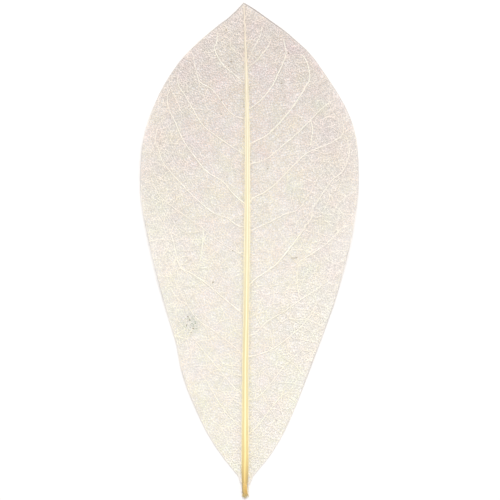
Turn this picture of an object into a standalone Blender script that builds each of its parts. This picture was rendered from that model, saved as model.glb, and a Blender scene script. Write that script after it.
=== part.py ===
# Skeleton leaf: the bare vein network of a broad, pointed leaf, cleaned of its green flesh.
# It lies flat on its smooth face with the tip towards +Y and the raised midrib upwards.
# The leaf grew as one piece, so it is one solid: a thin sheet of the finest net, and on it the
# raised midrib, the side veins, a mesh of small cross veins and the short cut stalk.

import math
import random

import bmesh
import bpy
from mathutils import Vector
from mathutils.geometry import delaunay_2d_cdt

# Driving dimensions, in metres.
LEAF_LENGTH = 0.150
PLAN_LENGTH = 150.0
PLAN_WIDTH = 66.0
UNIT = LEAF_LENGTH / PLAN_LENGTH

# Everything below is in plan units, which are millimetres on a leaf 150 mm long. The plan's
# origin is the middle of the leaf's length and width, +y towards the tip.
TIP = (-1.7, 75.0)
STALK_END = -75.0
LEFT_MARGIN = [(-3.6, 72.9), (-6.9, 69.9), (-11.9, 66.2), (-19.7, 59.0), (-24.9, 51.7), (-28.6, 44.4),
               (-31.2, 37.1), (-32.6, 29.8), (-33.0, 19.0), (-32.0, 10.5), (-30.0, 0.8), (-26.4, -13.8),
               (-22.1, -28.3), (-21.3, -33.2), (-20.4, -36.8), (-18.4, -42.9), (-13.5, -53.8),
               (-9.0, -61.1), (-5.8, -65.2), (-3.1, -68.6)]
RIGHT_MARGIN = [(1.7, 72.9), (5.9, 69.9), (11.1, 66.2), (16.6, 61.4), (19.0, 59.0), (24.1, 51.7),
                (28.6, 44.4), (31.6, 37.1), (32.8, 29.8), (33.0, 19.0), (32.0, 10.5), (30.3, 0.8),
                (26.4, -13.8), (25.0, -18.0), (21.2, -28.3), (15.7, -42.9), (11.1, -53.8), (6.9, -61.1),
                (3.7, -65.2), (0.9, -68.6)]
BLADE_END = -71.4

MIDRIB_LINE = [(-1.2, -75.0), (-1.2, -55.3), (-1.2, -35.3), (-0.9, -20.1), (-0.7, -5.0), (-0.5, 15.3),
               (-0.5, 35.6), (-0.7, 50.8), (-0.9, 60.7), (-1.4, 73.4)]
MIDRIB_TOP = 73.4
MIDRIB_WIDTH = (2.15, 0.40)
MIDRIB_TAPER = 0.8
MIDRIB_RISE = 0.72
SHOULDER_PLACE = 0.62
SHOULDER_RISE = 0.74
STALK_SIDE = 0.55
MIDRIB_FOOT = 0.12
FOOT_SHARE = 0.3
CLOSEST_ROWS = 0.9

# Side veins from the midrib outwards, with the width at the start.
LEFT_VEINS = [
    (0.34, [(-0.9, 55.9), (-2.5, 59.1), (-5.6, 61.6), (-7.3, 64.7)]),
    (0.38, [(-0.8, 50.4), (-4.8, 53.5), (-8.3, 56.6), (-10.6, 61.0), (-9.6, 65.8)]),
    (0.48, [(-0.6, 39.5), (-4.6, 40.8), (-8.9, 45.8), (-11.5, 48.9), (-15.0, 51.0), (-17.0, 57.0)]),
    (0.52, [(-0.6, 28.6), (-5.2, 31.3), (-13.8, 37.6), (-19.1, 46.3), (-21.7, 51.5)]),
    (0.58, [(-0.6, 13.5), (-4.6, 16.8), (-8.0, 20.8), (-12.7, 23.7), (-20.2, 33.6), (-24.6, 43.4),
            (-24.2, 48.0)]),
    (0.54, [(-0.6, 6.8), (-6.8, 9.8), (-10.8, 11.3), (-20.9, 20.4), (-26.0, 26.4), (-28.5, 36.0)]),
    (0.56, [(-0.9, -2.3), (-5.8, 0.6), (-14.8, 7.2), (-27.0, 16.3), (-30.2, 23.5)]),
    (0.60, [(-0.9, -20.1), (-8.0, -14.3), (-12.7, -10.3), (-20.3, -5.8), (-22.6, 1.5), (-25.5, 8.0)]),
    (0.42, [(-1.1, -32.3), (-4.8, -29.0), (-10.3, -24.7), (-16.1, -20.5), (-21.5, -11.5)]),
    (0.56, [(-1.2, -44.1), (-4.8, -41.3), (-8.9, -36.4), (-12.7, -32.0), (-17.6, -25.5)]),
    (0.40, [(-1.2, -54.5), (-5.6, -50.8), (-9.6, -45.5), (-13.6, -38.5)]),
]
RIGHT_VEINS = [
    (0.32, [(-0.6, 61.0), (1.2, 64.0), (3.3, 67.6)]),
    (0.36, [(-0.6, 55.3), (3.5, 59.1), (6.3, 63.6)]),
    (0.46, [(-0.5, 42.9), (3.5, 45.6), (7.4, 50.8), (10.1, 56.6), (10.4, 63.0)]),
    (0.52, [(-0.5, 32.0), (5.4, 35.0), (10.4, 40.1), (17.0, 49.6), (17.6, 56.5)]),
    (0.54, [(-0.3, 25.9), (5.4, 27.9), (14.5, 35.5), (18.5, 39.5), (24.0, 44.6)]),
    (0.60, [(-0.5, 13.5), (4.9, 17.8), (10.2, 22.5), (17.7, 29.6), (25.5, 33.0), (28.4, 37.6)]),
    (0.46, [(-0.6, 5.6), (5.4, 8.2), (14.5, 12.3), (18.5, 18.0), (22.5, 24.5)]),
    (0.66, [(-0.6, -11.1), (5.4, -6.3), (11.2, -0.7), (17.0, 7.4), (20.5, 14.8), (28.3, 24.1),
            (29.6, 31.0)]),
    (0.60, [(-0.8, -25.9), (5.4, -21.6), (15.5, -15.0), (21.5, -11.0), (26.0, -2.9)]),
    (0.50, [(-0.9, -32.3), (7.4, -29.6), (13.4, -25.1), (21.0, -17.0)]),
    (0.54, [(-1.2, -45.3), (2.8, -44.3), (7.4, -39.2), (10.4, -35.2), (17.6, -28.3)]),
    (0.38, [(-1.2, -56.5), (2.6, -53.0), (6.0, -48.6), (10.4, -43.0)]),
]
BRANCH_VEINS = [
    (0.40, [(15.5, -15.0), (14.5, -7.9), (20.0, -0.4), (24.5, 3.0), (28.0, 9.0)]),
    (0.34, [(18.5, 39.5), (19.3, 36.0), (18.6, 31.6)]),
]
VEIN_END_WIDTH = 0.26
VEIN_RISE = 0.85

# The sheet of fine net, its cross veins, and how it lies.
SHEET = 0.24
MARGIN_RISE = 0.07
CROSS_VEIN_RISE = 0.13
CROSS_VEIN_WIDTH = 0.26
CELL_SIZE = 3.55
CELL_JITTER = 0.75
CELL_CLEARANCE = 2.15
UNDERSIDE_CELL = 6.5
OUTLINE_STEP = 3.4
VEIN_STEP = 3.4
STATION_STEP = 4.2
MERGE = 0.0001
VEIN_FOOT = 0.14
DEEPEST_INSET = 0.42
STEP_RISE = 0.17
FLAT_HALF_WIDTH = 12.0
EDGE_LIFT = 1.25
EDGE_WAVE = 0.45
WAVE_LENGTH = 41.0
LEFT_PHASE = 2.4
RIGHT_PHASE = 0.7
TIP_LIFT_START = 52.0
TIP_LIFT = 1.1
FRAY = [0.75, 0.1, 0.0, 0.45, 0.2]
SEED = 7


def clear_scene():
    for item in list(bpy.data.objects):
        bpy.data.objects.remove(item, do_unlink=True)


def smooth_path(points, step):
    """Points about one step apart along a smooth curve through the given points."""
    ends = [points[0]] + list(points) + [points[-1]]
    dense = []
    for i in range(1, len(ends) - 2):
        p0, p1, p2, p3 = [Vector(p) for p in ends[i - 1:i + 3]]
        for k in range(12):
            t = k / 12.0
            dense.append(0.5 * (2.0 * p1 + (p2 - p0) * t + (2.0 * p0 - 5.0 * p1 + 4.0 * p2 - p3) * t * t
                                + (3.0 * p1 - p0 - 3.0 * p2 + p3) * t * t * t))
    dense.append(Vector(points[-1]))
    length = sum((b - a).length for a, b in zip(dense, dense[1:]))
    count = max(2, round(length / step))
    return [walk(dense, length * k / count) for k in range(count)] + [dense[-1]]


def walk(path, distance):
    for a, b in zip(path, path[1:]):
        run = (b - a).length
        if distance <= run:
            return a.lerp(b, distance / run if run else 0.0)
        distance -= run
    return path[-1]


def midrib_x(y):
    low = MIDRIB_LINE[0]
    for high in MIDRIB_LINE[1:]:
        if y <= high[1]:
            return low[0] + (high[0] - low[0]) * (y - low[1]) / (high[1] - low[1])
        low = high
    return low[0]


def midrib_width(y):
    """The midrib is widest at the stalk and thins to a thread at the tip."""
    wide, narrow = MIDRIB_WIDTH
    from_tip = min(1.0, max(0.0, (PLAN_LENGTH / 2.0 - y) / PLAN_LENGTH))
    return narrow + (wide - narrow) * from_tip ** MIDRIB_TAPER


def lift(x, y):
    """Height of the underside: flat beside the midrib, with gently waved margins and tip."""
    side = x - midrib_x(y)
    beyond = max(0.0, abs(side) - FLAT_HALF_WIDTH) / (PLAN_WIDTH / 2.0 - FLAT_HALF_WIDTH)
    phase = RIGHT_PHASE if side > 0.0 else LEFT_PHASE
    wave = EDGE_LIFT + EDGE_WAVE * math.sin(2.0 * math.pi * y / WAVE_LENGTH + phase)
    up_tip = max(0.0, y - TIP_LIFT_START) / (PLAN_LENGTH / 2.0 - TIP_LIFT_START)
    return wave * beyond ** 2 + TIP_LIFT * up_tip ** 2


class Plan:
    """Points and lines of the flat drawing from which the sheet's faces are laid out."""

    def __init__(self):
        self.points = []
        self.rises = []
        self.widths = []
        self.lines = []
        self.found = {}

    def add(self, point, rise, width):
        key = (round(point[0], 3), round(point[1], 3))
        if key in self.found:
            index = self.found[key]
            self.rises[index] = max(self.rises[index], rise)
            self.widths[index] = max(self.widths[index], width)
            return index
        self.found[key] = len(self.points)
        self.points.append(Vector(key))
        self.rises.append(rise)
        self.widths.append(width)
        return self.found[key]

    def join(self, indices):
        for a, b in zip(indices, indices[1:]):
            if a != b:
                self.lines.append((a, b))


def stations():
    """Heights along the midrib at which its section is laid out, with one at each side vein."""
    starts = [path[0][1] for _, path in LEFT_VEINS + RIGHT_VEINS]
    fixed = sorted(starts + [STALK_END, BLADE_END, MIDRIB_TOP])
    rows = [fixed[0]]
    for y in fixed[1:]:
        gap = y - rows[-1]
        if gap < CLOSEST_ROWS:
            continue
        steps = max(1, round(gap / STATION_STEP))
        base = rows[-1]
        rows += [base + gap * (k + 1) / steps for k in range(steps)]
    return rows


def nearest(rows, y):
    return min(rows, key=lambda row: abs(row - y))


def draw_midrib(plan, rows):
    """Five lines run the length of the midrib: two feet, two shoulders and the crest."""
    places = [-1.0, -SHOULDER_PLACE, 0.0, SHOULDER_PLACE, 1.0]
    tracks = [[] for _ in places]
    for row, y in enumerate(rows):
        width = midrib_width(y)
        rise = MIDRIB_RISE * width
        foot = STALK_SIDE if y <= BLADE_END else MIDRIB_FOOT
        shoulder = SHOULDER_RISE * rise + FOOT_SHARE * foot
        heights = [foot, shoulder, rise, shoulder, foot]
        for k, place in enumerate(places):
            end = y + (FRAY[k] if row == 0 else 0.0)
            point = (midrib_x(y) + place * width / 2.0, end)
            tracks[k].append(plan.add(point, heights[k], 0.0))
    for track in tracks:
        plan.join(track)
    plan.join([track[0] for track in tracks])
    plan.join([track[-1] for track in tracks])
    return tracks


def draw_margin(plan, rows, tracks):
    """The outer loop: tip, right margin, right side of the stalk, cut end, and back up the left."""
    base_row = rows.index(nearest(rows, BLADE_END))
    left_foot = tracks[0]
    right_foot = tracks[-1]
    right_end = tuple(plan.points[right_foot[base_row]])
    left_end = tuple(plan.points[left_foot[base_row]])
    right = smooth_path([TIP] + RIGHT_MARGIN + [right_end], OUTLINE_STEP)
    left = smooth_path([TIP] + LEFT_MARGIN + [left_end], OUTLINE_STEP)
    down = [plan.add(p, MARGIN_RISE, 0.0) for p in right[:-1]] + [right_foot[base_row]]
    up = [plan.add(p, MARGIN_RISE, 0.0) for p in left[:-1]] + [left_foot[base_row]]
    plan.join(down)
    plan.join(up)
    stalk_right = right_foot[:base_row][::-1]
    stalk_left = left_foot[:base_row]
    cut_end = [track[0] for track in tracks[1:-1]][::-1]
    return down + stalk_right + cut_end + stalk_left + up[::-1][:-1]


def draw_veins(plan, rows):
    for side, veins in ((-1.0, LEFT_VEINS), (1.0, RIGHT_VEINS), (0.0, BRANCH_VEINS)):
        for width, points in veins:
            path = list(points)
            if side:
                y = nearest(rows, path[0][1])
                path[0] = (midrib_x(y) + side * midrib_width(y) / 2.0, y)
            line = smooth_path(path, VEIN_STEP)
            indices = []
            for k, point in enumerate(line):
                here = width + (VEIN_END_WIDTH - width) * k / (len(line) - 1)
                indices.append(plan.add(point, VEIN_RISE * here, here))
            plan.join(indices)


def inside(point, loop):
    """True where the point lies within the closed outer loop."""
    within = False
    for a, b in zip(loop, loop[1:] + loop[:1]):
        if (a[1] > point[1]) != (b[1] > point[1]):
            if point[0] < a[0] + (b[0] - a[0]) * (point[1] - a[1]) / (b[1] - a[1]):
                within = not within
    return within


def scattered(loop, size, jitter, clearance, keep_off):
    """Loose points on a staggered grid inside the loop, clear of the points already laid out."""
    spread = random.Random(SEED)
    found = []
    row_height = size * math.sqrt(3.0) / 2.0
    rows = int(PLAN_LENGTH / row_height) + 1
    columns = int(PLAN_WIDTH / size) + 2
    for row in range(rows):
        for column in range(columns):
            x = (column - columns / 2.0 + 0.5 * (row % 2)) * size + spread.uniform(-jitter, jitter)
            y = -PLAN_LENGTH / 2.0 + row * row_height + spread.uniform(-jitter, jitter)
            point = Vector((x, y))
            if inside(point, loop) and all((point - other).length > clearance for other in keep_off):
                found.append(point)
    return found


def lay_faces(plan):
    """The triangles between the drawn lines, as a flat mesh whose corners carry rise and width."""
    coords, edges, faces, origin, edge_origin, _ = delaunay_2d_cdt(plan.points, plan.lines, [], 1, MERGE)
    mesh = bmesh.new()
    rise = mesh.verts.layers.float.new("rise")
    width = mesh.verts.layers.float.new("width")
    corners = []
    of_point = {}
    for place, source in zip(coords, origin):
        corner = mesh.verts.new((place.x, place.y, 0.0))
        corner[rise] = max(plan.rises[source[0]], MARGIN_RISE) if source else CROSS_VEIN_RISE
        corner[width] = plan.widths[source[0]] if source else CROSS_VEIN_WIDTH
        corners.append(corner)
        for index in source:
            of_point[index] = corner
    for face in faces:
        mesh.faces.new([corners[i] for i in face])
    drawn = {frozenset(edge) for edge, source in zip(edges, edge_origin) if source}
    mesh.verts.index_update()
    for edge in mesh.edges:
        edge.smooth = frozenset((edge.verts[0].index, edge.verts[1].index)) not in drawn
    return mesh, of_point


def in_midrib(face):
    centre = face.calc_center_median()
    aside = abs(centre.x - midrib_x(centre.y))
    return aside < midrib_width(centre.y) / 2.0 and centre.y < MIDRIB_TOP


def join_cells(mesh):
    """Pairs and threes of triangles become the small cells between the cross veins."""
    blade = [face for face in mesh.faces if not in_midrib(face)]
    bmesh.ops.join_triangles(mesh, faces=blade, cmp_sharp=True, angle_face_threshold=math.pi,
                             angle_shape_threshold=math.radians(70.0))
    for face in [f for f in mesh.faces if len(f.verts) == 3 and not in_midrib(f)]:
        if not face.is_valid:
            continue
        free = [e for e in face.edges if e.smooth and len(e.link_faces) == 2
                and not any(in_midrib(f) for f in e.link_faces)]
        if free:
            longest = max(free, key=lambda e: e.calc_length())
            bmesh.ops.dissolve_edges(mesh, edges=[longest], use_verts=False)


def step_cross_veins(mesh):
    """A cross vein drops to its own height close beside the side vein that it leaves."""
    rise = mesh.verts.layers.float["rise"]
    width = mesh.verts.layers.float["width"]
    for edge in list(mesh.edges):
        if not edge.smooth or any(in_midrib(face) for face in edge.link_faces):
            continue
        for high in list(edge.verts):
            run = high[width] / 2.0 + SHEET
            if high[rise] > STEP_RISE and edge.calc_length() > 3.0 * run:
                _, low = bmesh.utils.edge_split(edge, high, run / edge.calc_length())
                low[rise] = CROSS_VEIN_RISE
                low[width] = CROSS_VEIN_WIDTH
                edge = next(e for e in low.link_edges if high not in e.verts)


def sink_cells(mesh):
    """Each cell gets a sunk floor, set in from its corners by the half width of the veins there."""
    rise = mesh.verts.layers.float["rise"]
    width = mesh.verts.layers.float["width"]
    for face in [f for f in mesh.faces if not in_midrib(f)]:
        centre = face.calc_center_median()
        crests = list(face.verts)
        bmesh.ops.inset_individual(mesh, faces=[face], thickness=0.0)
        for corner in face.verts:
            crest = min(crests, key=lambda c: (c.co - corner.co).length)
            inward = centre - crest.co
            set_in = VEIN_FOOT + 0.9 * max(crest[width], CROSS_VEIN_WIDTH)
            corner.co = crest.co + inward.normalized() * min(DEEPEST_INSET * inward.length, set_in)
            corner[rise] = 0.0
            corner[width] = 0.0


def add_underside(mesh, border, top_loop):
    """The smooth face below, with fewer and larger faces, joined to the top by a thin edge."""
    count = len(border)
    lines = [(k, (k + 1) % count) for k in range(count)]
    points = border + scattered(border, UNDERSIDE_CELL, 0.0, UNDERSIDE_CELL / 2.0, border)
    coords, _, faces, origin, _, _ = delaunay_2d_cdt(points, lines, [], 1, MERGE)
    corners = [mesh.verts.new((p.x, p.y, lift(p.x, p.y))) for p in coords]
    for face in faces:
        mesh.faces.new([corners[i] for i in reversed(face)])
    below = {source[0]: corners[i] for i, source in enumerate(origin) if source}
    for k, following in lines:
        mesh.faces.new([top_loop[following], top_loop[k], below[k], below[following]])


def build_leaf():
    plan = Plan()
    rows = stations()
    tracks = draw_midrib(plan, rows)
    loop = draw_margin(plan, rows, tracks)
    draw_veins(plan, rows)
    border = [plan.points[i] for i in loop]
    for point in scattered(border, CELL_SIZE, CELL_JITTER, CELL_CLEARANCE, list(plan.points)):
        plan.add(point, CROSS_VEIN_RISE, CROSS_VEIN_WIDTH)

    mesh, of_point = lay_faces(plan)
    join_cells(mesh)
    step_cross_veins(mesh)
    sink_cells(mesh)
    rise = mesh.verts.layers.float["rise"]
    for corner in mesh.verts:
        corner.co.z = lift(corner.co.x, corner.co.y) + SHEET + corner[rise]
    add_underside(mesh, border, [of_point[i] for i in loop])

    bmesh.ops.scale(mesh, vec=(UNIT, UNIT, UNIT), verts=mesh.verts)
    bmesh.ops.triangulate(mesh, faces=mesh.faces, quad_method="SHORT_EDGE", ngon_method="BEAUTY")
    bmesh.ops.recalc_face_normals(mesh, faces=mesh.faces)
    data = bpy.data.meshes.new("leaf")
    mesh.to_mesh(data)
    mesh.free()
    leaf = bpy.data.objects.new("leaf", data)
    bpy.context.scene.collection.objects.link(leaf)
    return leaf


def fibre_material():
    """Bleached, dry vein fibre: pale cream, matt."""
    material = bpy.data.materials.new("bleached fibre")
    material.use_nodes = True
    shader = material.node_tree.nodes["Principled BSDF"]
    shader.inputs["Base Color"].default_value = (0.83, 0.77, 0.63, 1.0)
    shader.inputs["Roughness"].default_value = 0.75
    shader.inputs["Metallic"].default_value = 0.0
    return material


def main():
    clear_scene()
    leaf = build_leaf()
    leaf.data.materials.append(fibre_material())


main()
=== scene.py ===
import math
import random

import bmesh
import bpy
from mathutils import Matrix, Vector, kdtree, noise
from mathutils.bvhtree import BVHTree
from mathutils.geometry import delaunay_2d_cdt


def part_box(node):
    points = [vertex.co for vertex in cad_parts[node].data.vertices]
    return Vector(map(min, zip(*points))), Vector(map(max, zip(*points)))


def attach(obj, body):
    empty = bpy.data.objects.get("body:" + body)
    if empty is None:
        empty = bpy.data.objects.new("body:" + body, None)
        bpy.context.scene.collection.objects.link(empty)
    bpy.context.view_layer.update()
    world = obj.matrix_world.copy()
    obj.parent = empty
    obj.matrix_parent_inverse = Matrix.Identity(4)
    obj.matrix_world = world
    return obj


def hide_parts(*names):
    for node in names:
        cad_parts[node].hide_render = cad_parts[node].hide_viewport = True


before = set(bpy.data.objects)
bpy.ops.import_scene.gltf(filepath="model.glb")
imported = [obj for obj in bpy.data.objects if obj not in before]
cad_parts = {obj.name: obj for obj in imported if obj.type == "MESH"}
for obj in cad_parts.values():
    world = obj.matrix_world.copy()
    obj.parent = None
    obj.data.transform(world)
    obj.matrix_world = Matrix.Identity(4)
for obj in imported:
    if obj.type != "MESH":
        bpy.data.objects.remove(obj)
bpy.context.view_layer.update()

mm = 0.001
up = Vector((0.0, 0.0, 1.0))


def clamp(value):
    return min(1.0, max(0.0, value))


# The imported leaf: its outline and the height of its underside, which every thread follows.

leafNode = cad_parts["leaf"]
leafLow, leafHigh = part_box("leaf")
stalkEnd = round(leafLow[1] / mm, 1)
tipEnd = round(leafHigh[1] / mm, 1)
readValues = {"weld": 0.001, "facesDown": -0.7}


def readLeaf():
    solid = bmesh.new()
    solid.from_mesh(leafNode.data)
    bmesh.ops.remove_doubles(solid, verts=solid.verts, dist=readValues["weld"] * mm)
    solid.normal_update()
    below = {face for face in solid.faces if face.normal.z < readValues["facesDown"]}
    rimEdges = [e for e in solid.edges if len([f for f in e.link_faces if f in below]) == 1]
    onRim = {}
    for edge in rimEdges:
        for corner in edge.verts:
            onRim.setdefault(corner, []).append(edge.other_vert(corner))
    start = max(onRim, key=lambda corner: corner.co.y)
    loop = [start]
    previous, here = None, start
    while True:
        step = [c for c in onRim[here] if c is not previous]
        following = max(step, key=lambda c: c.co.x) if previous is None else step[0]
        if following is start:
            break
        loop.append(following)
        previous, here = here, following
    rim = [corner.co.xy.copy() for corner in loop]
    tree = BVHTree.FromBMesh(solid)
    solid.free()
    return tree, rim


leafTree, leafRim = readLeaf()
print("leaf outline read:", len(leafRim), "points")


def underside(x, y):
    hit = leafTree.ray_cast(Vector((x, y, -1.0)), up)[0]
    return None if hit is None else hit.z


def restHeight(point):
    height = underside(point.x, point.y)
    if height is None:
        spot = leafTree.find_nearest(Vector((point.x, point.y, 0.0)))[0]
        height = spot.z
    return height


# The middle line of the midrib and how wide it is, from the stalk's cut end up to the tip.

midribValues = {
    "line": [(-1.44, -75.0), (-1.38, -70.0), (-1.28, -63.0), (-1.28, -55.3), (-1.26, -35.3),
             (-0.97, -20.1), (-0.77, -5.0), (-0.58, 15.3), (-0.60, 35.6), (-0.86, 50.8), (-1.08, 60.7),
             (-1.62, 74.0)],
    "top": 73.9,
    "baseWidth": 1.80,
    "tipWidth": 0.28,
    "taper": 0.8,
    "pinch": 0.24,
    "pinchAt": -74.0,
    "pinchReach": 5.0,
    "rise": 0.50,
    "sheet": 0.24,
    "covers": 0.42,
    "lobes": 0.07,
    "middleHeight": 0.42,
    "step": 0.7,
    "sides": 28,
    "wander": 0.05,
    "cutLength": 4.0,
    "cutSlant": 0.9,
    "cutRagged": 0.35,
}


def midribX(y):
    line = midribValues["line"]
    for low, high in zip(line, line[1:]):
        if y <= high[1]:
            return low[0] + (high[0] - low[0]) * (y - low[1]) / (high[1] - low[1])
    return line[-1][0]


def midribWidth(y):
    fromTip = clamp((tipEnd - y) / (tipEnd - stalkEnd))
    wide, narrow = midribValues["baseWidth"], midribValues["tipWidth"]
    fromPinch = (y - midribValues["pinchAt"]) / midribValues["pinchReach"]
    pinch = 1.0 - midribValues["pinch"] * math.exp(-fromPinch ** 2)
    return (narrow + (wide - narrow) * fromTip ** midribValues["taper"]) * pinch


# Threads are drawn as bare lines with a radius at each point, and this group gives them their body.

def tubeGroup():
    group = bpy.data.node_groups.new("threadTubes", "GeometryNodeTree")
    group.interface.new_socket(name="Lines", in_out="INPUT", socket_type="NodeSocketGeometry")
    sides = group.interface.new_socket(name="Sides", in_out="INPUT", socket_type="NodeSocketInt")
    sides.default_value = 4
    group.interface.new_socket(name="Tubes", in_out="OUTPUT", socket_type="NodeSocketGeometry")
    start = group.nodes.new("NodeGroupInput")
    end = group.nodes.new("NodeGroupOutput")
    toCurve = group.nodes.new("GeometryNodeMeshToCurve")
    upright = group.nodes.new("GeometryNodeSetCurveNormal")
    upright.mode = "Z_UP"
    radius = group.nodes.new("GeometryNodeInputNamedAttribute")
    radius.data_type = "FLOAT"
    radius.inputs["Name"].default_value = "radius"
    ring = group.nodes.new("GeometryNodeCurvePrimitiveCircle")
    ring.mode = "RADIUS"
    ring.inputs["Radius"].default_value = 1.0
    sweep = group.nodes.new("GeometryNodeCurveToMesh")
    sweep.inputs["Fill Caps"].default_value = True
    group.links.new(start.outputs["Lines"], toCurve.inputs["Mesh"])
    group.links.new(toCurve.outputs["Curve"], upright.inputs["Curve"])
    group.links.new(start.outputs["Sides"], ring.inputs["Resolution"])
    group.links.new(ring.outputs["Curve"], sweep.inputs["Profile Curve"])
    group.links.new(upright.outputs["Curve"], sweep.inputs["Curve"])
    group.links.new(radius.outputs["Attribute"], sweep.inputs["Scale"])
    group.links.new(sweep.outputs["Mesh"], end.inputs["Tubes"])
    return group


threadTubes = tubeGroup()


threadValues = {"brightShare": 0.25, "dimShade": 0.7}


def makeThreads(name, lines, sides):
    # lines: lists of (place, radius) or (place, radius, shade). A thread without a shade of its own
    # gets one by chance, and one in four is bright
    chance = random.Random(name)
    drawn = bmesh.new()
    radius = drawn.verts.layers.float.new("radius")
    shade = drawn.verts.layers.float.new("shade")
    for line in lines:
        last = None
        bright = chance.random() < threadValues["brightShare"]
        lineShade = 1.0 if bright else threadValues["dimShade"] * chance.random()
        for place, size, *own in line:
            corner = drawn.verts.new(place)
            corner[radius] = size
            corner[shade] = own[0] if own else lineShade
            if last is not None:
                drawn.edges.new((last, corner))
            last = corner
    mesh = bpy.data.meshes.new(name + "Lines")
    drawn.to_mesh(mesh)
    drawn.free()
    holder = bpy.data.objects.new(name + "Lines", mesh)
    bpy.context.scene.collection.objects.link(holder)
    tubes = holder.modifiers.new("tubes", "NODES")
    tubes.node_group = threadTubes
    for item in threadTubes.interface.items_tree:
        if item.name == "Sides":
            tubes[item.identifier] = sides
    bodied = holder.evaluated_get(bpy.context.evaluated_depsgraph_get())
    finished = bpy.data.meshes.new_from_object(bodied)
    bpy.data.objects.remove(holder, do_unlink=True)
    finished.name = name
    return placePiece(name, finished)


def placePiece(name, mesh):
    for polygon in mesh.polygons:
        polygon.use_smooth = True
    piece = bpy.data.objects.new(name, mesh)
    bpy.context.scene.collection.objects.link(piece)
    return piece


# Lines on the leaf

def smoothLine(points, step, parts=10):
    # a smooth line through the given points, with a new point about every step
    ends = [points[0]] + list(points) + [points[-1]]
    dense = []
    for i in range(1, len(ends) - 2):
        p0, p1, p2, p3 = [Vector(p) for p in ends[i - 1:i + 3]]
        for k in range(parts):
            t = k / parts
            dense.append(0.5 * (2.0 * p1 + (p2 - p0) * t + (2.0 * p0 - 5.0 * p1 + 4.0 * p2 - p3) * t * t
                                + (3.0 * p1 - p0 - 3.0 * p2 + p3) * t * t * t))
    dense.append(Vector(points[-1]))
    return evenLine(dense, step)


def evenLine(dense, step):
    runs = [(b - a).length for a, b in zip(dense, dense[1:])]
    total = sum(runs)
    count = max(1, round(total / step))
    line = [dense[0]]
    along, i = 0.0, 0
    for k in range(1, count):
        target = total * k / count
        while along + runs[i] < target:
            along += runs[i]
            i += 1
        line.append(dense[i].lerp(dense[i + 1], (target - along) / runs[i]))
    line.append(dense[-1])
    return line


# The side veins: width, how clearly each stands out, and its line from the midrib outwards in
# millimetres from the middle of the leaf.

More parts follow.
